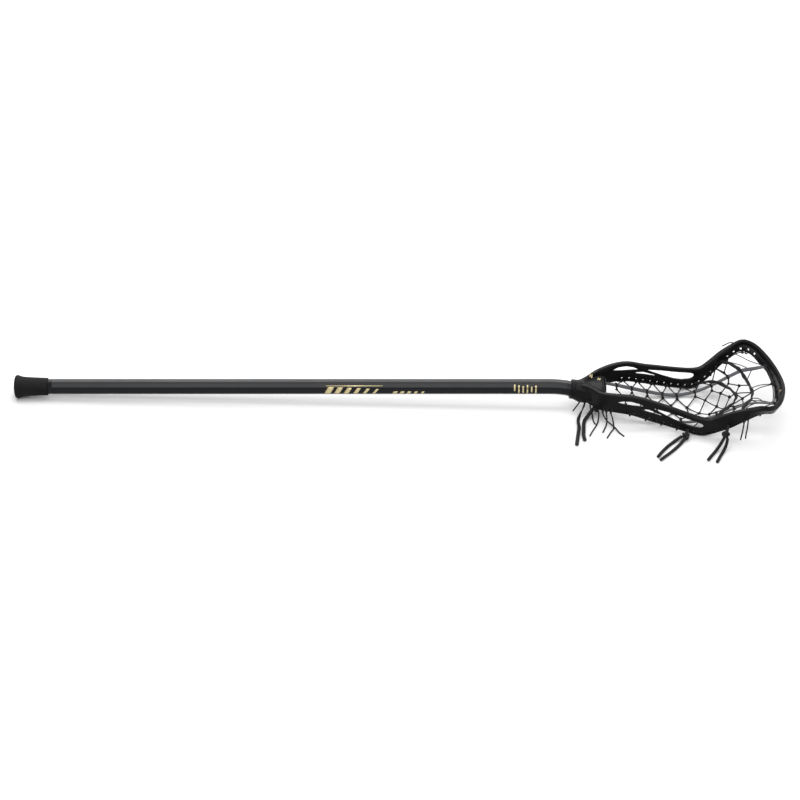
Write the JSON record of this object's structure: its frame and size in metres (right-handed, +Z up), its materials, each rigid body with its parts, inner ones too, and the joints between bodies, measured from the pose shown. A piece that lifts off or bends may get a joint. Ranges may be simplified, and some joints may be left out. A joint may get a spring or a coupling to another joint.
{
  "type": "lacrosse stick",
  "caption": "Lacrosse stick with an octagonal shaft, a flared butt cap, an open-sided offset head and a laced mesh pocket with loose string ends.",
  "frame": {"origin": "on the resting surface, under the middle of the stick's length, with the stick lying face up", "axes": "+X along the stick from the butt cap to the scoop, +Y to the left as seen from the butt, +Z up, towards the face of the head"},
  "size_m": [1.0871, 0.2073, 0.0697],
  "materials": {
    "shaft": "satin painted composite tube, dark grey-black with gold graphics",
    "rubber": "matte black rubber",
    "head": "satin moulded nylon, black, with small gold marks",
    "screw": "blackened steel",
    "thong": "flat woven dark grey thong",
    "mesh": "black braided nylon string",
    "lace": "black braided lace and string"
  },
  "bodies": {
    "stick": {"shaft": "shaft", "head_frame": "head", "pocket_mesh_centre": "mesh", "pocket_mesh_left": "mesh", "pocket_mesh_right": "mesh", "thong_left": "thong", "thong_right": "thong", "shooting_string_lower": "lace", "shooting_string_upper": "lace", "sidewall_string_left": "lace", "sidewall_string_right": "lace", "scoop_string": "lace", "throat_lacing": "lace", "shooting_knot_lower": "lace", "shooting_knot_upper": "lace", "thong_tail_left": "thong", "thong_tail_right": "thong", "throat_tail_1": "lace", "throat_tail_2": "lace", "throat_tail_3": "lace", "throat_tail_4": "lace", "throat_tail_5": "lace", "shooting_tail_lower_1": "lace", "shooting_tail_lower_2": "lace", "shooting_tail_upper_1": "lace", "shooting_tail_upper_2": "lace", "sidewall_tail_1": "lace", "sidewall_tail_2": "lace"},
    "butt_cap": {"butt_cap": "rubber"},
    "head_screw": {"head_screw": "screw"}
  },
  "joints": [
    {"name": "butt_cap_pull", "type": "slide", "parent": "stick", "child": "butt_cap", "axis": [-0.9996, 0, -0.0276], "range_m": [0, 0.05]},
    {"name": "head_screw_out", "type": "slide", "parent": "stick", "child": "head_screw", "axis": [-0.1464, 0, -0.9892], "range_m": [0, 0.01]}
  ]
}
